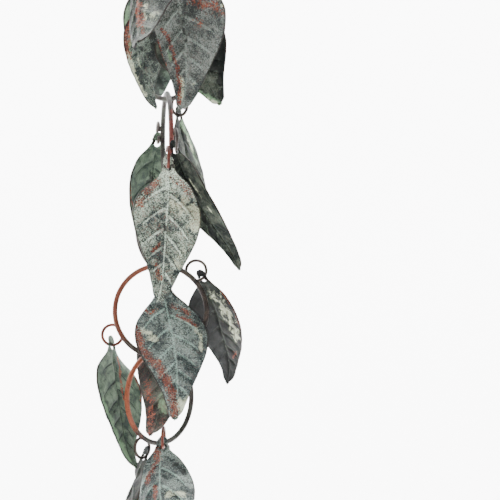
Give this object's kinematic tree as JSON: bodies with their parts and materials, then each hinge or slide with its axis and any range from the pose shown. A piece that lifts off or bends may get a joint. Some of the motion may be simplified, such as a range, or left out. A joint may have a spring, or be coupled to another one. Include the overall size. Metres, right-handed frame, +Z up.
{
  "type": "leaf rain chain",
  "caption": "Hanging rain chain of linked rings with embossed sheet-metal leaves on small brazed loops, patinated like old copper.",
  "frame": {"origin": "top of the uppermost ring, where the chain hangs from the gutter's hook", "axes": "+Z up, -Y toward the side that is seen in the picture"},
  "size_m": [0.0882, 0.1568, 0.4506],
  "materials": {
    "ring": "copper rod with a dark brown patina",
    "loop": "copper rod, warmer and brighter",
    "leaf": "embossed copper sheet with brown, green and orange patina"
  },
  "bodies": {
    "ring_1_body": {"ring_1": "ring", "loop_01": "loop", "loop_02": "loop", "loop_03": "loop"},
    "ring_2_body": {"ring_2": "ring", "loop_04": "loop", "loop_05": "loop", "loop_06": "loop", "loop_07": "loop"},
    "ring_3_body": {"ring_3": "ring", "loop_08": "loop"},
    "ring_4_body": {"ring_4": "ring", "loop_09": "loop", "loop_10": "loop", "loop_11": "loop"},
    "ring_5_body": {"ring_5": "ring", "loop_12": "loop", "loop_13": "loop"},
    "ring_6_body": {"ring_6": "ring", "loop_14": "loop", "loop_15": "loop"},
    "ring_7_body": {"ring_7": "ring", "loop_16": "loop"},
    "ring_8_body": {"ring_8": "ring", "loop_17": "loop", "loop_18": "loop"},
    "leaf_01_body": {"leaf_01": "leaf"},
    "leaf_02_body": {"leaf_02": "leaf"},
    "leaf_03_body": {"leaf_03": "leaf"},
    "leaf_04_body": {"leaf_04": "leaf"},
    "leaf_05_body": {"leaf_05": "leaf"},
    "leaf_06_body": {"leaf_06": "leaf"},
    "leaf_07_body": {"leaf_07": "leaf"},
    "leaf_08_body": {"leaf_08": "leaf"},
    "leaf_09_body": {"leaf_09": "leaf"},
    "leaf_10_body": {"leaf_10": "leaf"},
    "leaf_11_body": {"leaf_11": "leaf"},
    "leaf_12_body": {"leaf_12": "leaf"},
    "leaf_13_body": {"leaf_13": "leaf"},
    "leaf_14_body": {"leaf_14": "leaf"},
    "leaf_15_body": {"leaf_15": "leaf"},
    "leaf_16_body": {"leaf_16": "leaf"},
    "leaf_17_body": {"leaf_17": "leaf"},
    "leaf_18_body": {"leaf_18": "leaf"}
  },
  "joints": [
    {"name": "ring_2_swing", "type": "hinge", "parent": "ring_1_body", "child": "ring_2_body", "pos_m": [0, 0, -0.0565], "axis": [0.5299, 0.848, 0], "range_deg": [-8, 7]},
    {"name": "ring_3_swing", "type": "hinge", "parent": "ring_2_body", "child": "ring_3_body", "pos_m": [0, 0, -0.1082], "axis": [-0.0349, 0.9994, 0], "range_deg": [-8, 8]},
    {"name": "ring_4_swing", "type": "hinge", "parent": "ring_3_body", "child": "ring_4_body", "pos_m": [0, 0, -0.1599], "axis": [-0.766, 0.6428, 0], "range_deg": [-3, 8]},
    {"name": "ring_5_swing", "type": "hinge", "parent": "ring_4_body", "child": "ring_5_body", "pos_m": [0, 0, -0.2116], "axis": [-0.1045, 0.9945, 0], "range_deg": [-7, 2]},
    {"name": "ring_6_swing", "type": "hinge", "parent": "ring_5_body", "child": "ring_6_body", "pos_m": [-0.00259, 0.00331, -0.26314], "axis": [-0.6157, 0.788, 0], "range_deg": [-1, 2]},
    {"name": "ring_7_swing", "type": "hinge", "parent": "ring_6_body", "child": "ring_7_body", "pos_m": [-0.00469, 0.00331, -0.3148], "axis": [1, 0, 0], "range_deg": [-2, 1]},
    {"name": "ring_8_swing", "type": "hinge", "parent": "ring_7_body", "child": "ring_8_body", "pos_m": [-0.0026, 0.00547, -0.36633], "axis": [0.6947, 0.7193, 0], "range_deg": [-8, 8]},
    {"name": "leaf_01_swing", "type": "hinge", "parent": "ring_1_body", "child": "leaf_01_body", "pos_m": [-0.01291, -0.02519, -0.0534], "axis": [0.5094, 0.8152, -0.2756], "range_deg": [-7, 3]},
    {"name": "leaf_02_swing", "type": "hinge", "parent": "ring_1_body", "child": "leaf_02_body", "pos_m": [0.01423, 0.0273, -0.02064], "axis": [0.5119, 0.8192, 0.2588], "range_deg": [-20, 20]},
    {"name": "leaf_03_swing", "type": "hinge", "parent": "ring_1_body", "child": "leaf_03_body", "pos_m": [-0.01773, -0.02385, -0.01864], "axis": [0.5119, 0.8192, -0.2588], "range_deg": [0, 20]},
    {"name": "leaf_04_swing", "type": "hinge", "parent": "ring_2_body", "child": "leaf_04_body", "pos_m": [0.00359, -0.03415, -0.08184], "axis": [-0.0326, 0.933, -0.3584], "range_deg": [-20, 20]},
    {"name": "leaf_05_swing", "type": "hinge", "parent": "ring_2_body", "child": "leaf_05_body", "pos_m": [0.0032, -0.02301, -0.10677], "axis": [-0.0328, 0.9391, 0.342], "range_deg": [-20, 0]},
    {"name": "leaf_06_swing", "type": "hinge", "parent": "ring_2_body", "child": "leaf_06_body", "pos_m": [0.00128, 0.03219, -0.08056], "axis": [-0.0349, 0.998, 0.0523], "range_deg": [-20, 20]},
    {"name": "leaf_07_swing", "type": "hinge", "parent": "ring_2_body", "child": "leaf_07_body", "pos_m": [-0.00146, -0.02702, -0.1039], "axis": [-0.0348, 0.9956, 0.0872], "range_deg": [0, 8]},
    {"name": "leaf_08_swing", "type": "hinge", "parent": "ring_3_body", "child": "leaf_08_body", "pos_m": [0.00714, -0.00286, -0.16986], "axis": [-0.7631, 0.6403, 0.0872], "range_deg": [-20, 5]},
    {"name": "leaf_09_swing", "type": "hinge", "parent": "ring_4_body", "child": "leaf_09_body", "pos_m": [0.00099, -0.03239, -0.20094], "axis": [-0.0994, 0.9458, -0.309], "range_deg": [-3, 20]},
    {"name": "leaf_10_swing", "type": "hinge", "parent": "ring_4_body", "child": "leaf_10_body", "pos_m": [-0.00562, 0.03051, -0.18553], "axis": [-0.1026, 0.9762, -0.1908], "range_deg": [0, 20]},
    {"name": "leaf_11_swing", "type": "hinge", "parent": "ring_4_body", "child": "leaf_11_body", "pos_m": [0.0056, -0.03031, -0.19048], "axis": [-0.1005, 0.956, 0.2756], "range_deg": [-18, 1]},
    {"name": "leaf_12_swing", "type": "hinge", "parent": "ring_5_body", "child": "leaf_12_body", "pos_m": [-0.00216, -0.00114, -0.27393], "axis": [-0.6044, 0.7735, 0.1908], "range_deg": [-9, 20]},
    {"name": "leaf_13_swing", "type": "hinge", "parent": "ring_5_body", "child": "leaf_13_body", "pos_m": [-0.0025, 0.00709, -0.27346], "axis": [-0.6044, 0.7735, -0.1908], "range_deg": [-10, 1]},
    {"name": "leaf_14_swing", "type": "hinge", "parent": "ring_6_body", "child": "leaf_14_body", "pos_m": [-0.03322, 0.00571, -0.30756], "axis": [0.9986, 0, -0.0523], "range_deg": [0, 2]},
    {"name": "leaf_15_swing", "type": "hinge", "parent": "ring_6_body", "child": "leaf_15_body", "pos_m": [0.02136, 0.00571, -0.26749], "axis": [0.766, 0, 0.6428], "range_deg": [-20, 20]},
    {"name": "leaf_16_swing", "type": "hinge", "parent": "ring_7_body", "child": "leaf_16_body", "pos_m": [-0.01348, -0.00234, -0.37476], "axis": [0.6568, 0.6801, 0.3256], "range_deg": [-10, 20]},
    {"name": "leaf_17_swing", "type": "hinge", "parent": "ring_8_body", "child": "leaf_17_body", "pos_m": [-0.00231, -0.01474, -0.36778], "axis": [0.0867, 0.8245, -0.5592], "range_deg": [-18, 20]},
    {"name": "leaf_18_swing", "type": "hinge", "parent": "ring_8_body", "child": "leaf_18_body", "pos_m": [-0.00243, 0.03006, -0.37347], "axis": [0.101, 0.9606, 0.2588], "range_deg": [-20, 19]}
  ]
}
